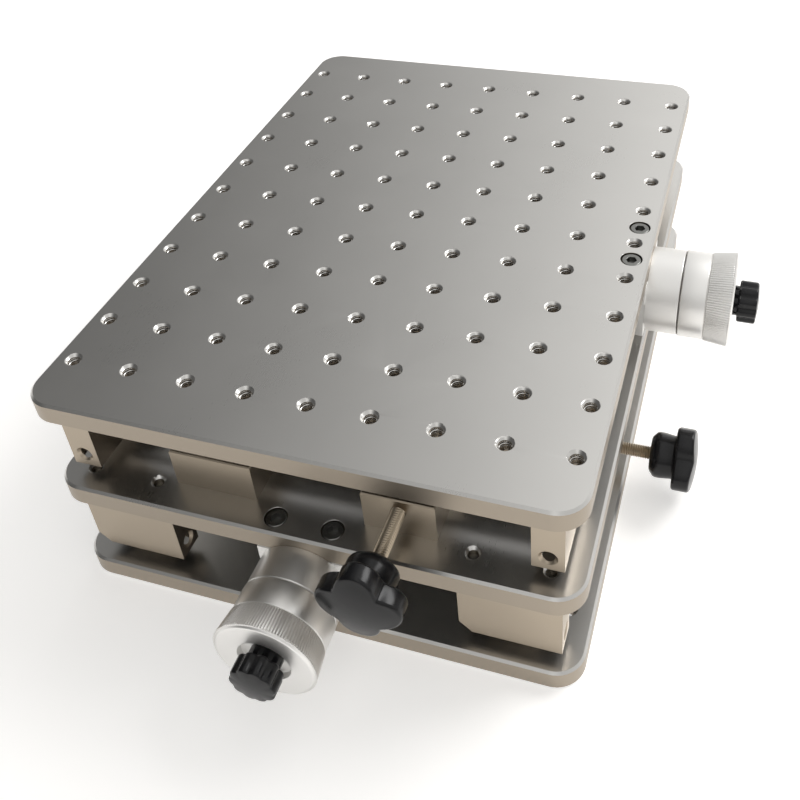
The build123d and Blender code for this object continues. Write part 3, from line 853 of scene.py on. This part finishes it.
# A right-hand thread about local Z: the ridge's height is worked out from the angle and the place along it.
def threadedMesh(name, start, end, setup):
    pitch, segments, flat = setup["pitch"], setup["segments"], setup["flat"]
    count = int(round((end - start) / (pitch / setup["rowsPerTurn"])))
    work = bmesh.new()
    rings = [[work.verts.new((0, 0, start))]]
    for i in range(count + 1):
        along = start + (end - start) * i / count
        ring = []
        for s in range(segments):
            turn = 2 * math.pi * s / segments
            phase = (along / pitch - s / segments) % 1.0
            ridge = min(1.0, max(0.0, (abs(2 * phase - 1) - flat / 2) / (1 - flat)))
            reach = setup["radius"] - setup["depth"] * (ridge if start < along < end else 1.0)
            ring.append(work.verts.new((reach * math.cos(turn), reach * math.sin(turn), along)))
        rings.append(ring)
    rings.append([work.verts.new((0, 0, end))])
    return closedRings(name, work, rings, segments)


def addLockStud(stage):
    node = stage + "_lock_stud"
    mesh = threadedMesh(node + "Threaded", lockStud["start"], lockStud["end"], lockStud)
    piece = newPiece(node + "Threaded", placed(mesh, lockPlace(stage)), finishOf(node))
    smoothByAngle(piece.data, lockStud["smoothAngle"])
    standIn(piece, node)


def addLeadScrew(stage):
    s = leadScrew
    node = stage + "_lead_screw"
    low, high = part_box(node)
    place = wheelPlace(stage)
    ends = [(place.inverted() @ Vector(corner)).z for corner in (low, high)]
    far, tip = min(ends), max(ends)
    threadStart = far + s["farJournal"]
    thread = threadedMesh(node + "Thread", threadStart, s["threadEnd"], leadThread)
    farJournal = latheMesh(node + "FarJournal", [
        (far, 0), (far, s["journalRadius"]), (threadStart, s["journalRadius"]), (threadStart, 0),
    ], s["segments"])
    spindle = latheMesh(node + "Spindle", [
        (s["threadEnd"], 0), (s["threadEnd"], s["journalRadius"]), (s["seat"], s["journalRadius"]),
        (s["seat"], s["tipRadius"]), (tip, s["tipRadius"]), (tip, 0),
    ], s["segments"])
    mesh = placed(joined(node + "Threaded", [thread, farJournal, spindle]), place)
    piece = newPiece(node + "Threaded", mesh, finishOf(node))
    smoothByAngle(piece.data, leadThread["smoothAngle"])
    standIn(piece, node)


# Threads in the tapped holes: a coil on the wall of each hole
holeThread = {
    "radius": 2.5,
    "wire": 0.2,
    "pitch": 1.0,
    "turns": 5.0,
    "top": -1.3,  # mm from the table's top
    "smoothAngle": 60.0,
}


def coilTree(material):
    tree = bpy.data.node_groups.new("holeThreads", "GeometryNodeTree")
    tree.interface.new_socket("Geometry", in_out="INPUT", socket_type="NodeSocketGeometry")
    for name in ("radius", "wire", "turns", "height"):
        addInput(tree, name, "NodeSocketFloat", 1.0)
    tree.interface.new_socket("Geometry", in_out="OUTPUT", socket_type="NodeSocketGeometry")
    nodes, links = tree.nodes, tree.links
    given = nodes.new("NodeGroupInput")
    spiral = nodes.new("GeometryNodeCurveSpiral")
    spiral.inputs["Resolution"].default_value = 14
    links.new(given.outputs["turns"], spiral.inputs["Rotations"])
    links.new(given.outputs["radius"], spiral.inputs["Start Radius"])
    links.new(given.outputs["radius"], spiral.inputs["End Radius"])
    links.new(given.outputs["height"], spiral.inputs["Height"])
    section = nodes.new("GeometryNodeCurvePrimitiveCircle")
    section.inputs["Resolution"].default_value = 4
    links.new(given.outputs["wire"], section.inputs["Radius"])
    wire = nodes.new("GeometryNodeCurveToMesh")
    wire.inputs["Fill Caps"].default_value = True
    links.new(spiral.outputs[0], wire.inputs["Curve"])
    links.new(section.outputs[0], wire.inputs["Profile Curve"])
    copies = nodes.new("GeometryNodeInstanceOnPoints")
    links.new(given.outputs["Geometry"], copies.inputs["Points"])
    links.new(wire.outputs[0], copies.inputs["Instance"])
    real = nodes.new("GeometryNodeRealizeInstances")
    paint = nodes.new("GeometryNodeSetMaterial")
    paint.inputs["Material"].default_value = material
    result = nodes.new("NodeGroupOutput")
    links.new(copies.outputs[0], real.inputs[0])
    links.new(real.outputs[0], paint.inputs["Geometry"])
    links.new(paint.outputs[0], result.inputs[0])
    return tree


tableGrid = {"pitch": 25.0, "columns": 9, "rows": 11}


def addTableThreads():
    grid, t = tableGrid, holeThread
    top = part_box("table_plate")[1][2] / mm
    spots = [
        ((c - (grid["columns"] - 1) / 2) * grid["pitch"], (r - (grid["rows"] - 1) / 2) * grid["pitch"])
        for c in range(grid["columns"]) for r in range(grid["rows"])
    ]
    points = bpy.data.meshes.new("tableHoles")
    points.from_pydata([(x, y, top + t["top"] - t["turns"] * t["pitch"]) for x, y in spots], [], [])
    settings = {
        "radius": t["radius"],
        "wire": t["wire"],
        "turns": t["turns"],
        "height": t["turns"] * t["pitch"],
    }
    mesh = runTree(coilTree(finishes["anodised_plate"]), "tableThreads", settings, points)
    mesh.transform(Matrix.Scale(mm, 4))
    piece = newPiece("tableThreads", mesh, finishes["anodised_plate"])
    smoothByAngle(piece.data, t["smoothAngle"])
    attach(piece, bodyOf["table_plate"])


addCamera()
addStudio()
print("camera, floor and lamps placed")
dressNodes()
print("plates, blocks, rods and screws dressed")
for stageName in ("x", "y"):
    addHandwheel(stageName)
    addWheelNut(stageName)
    addStarKnob(stageName)
    addLockStud(stageName)
    addLeadScrew(stageName)
print("handwheels, knobs, studs and lead screws made")
addTableThreads()
print("threads cut in the table's holes")
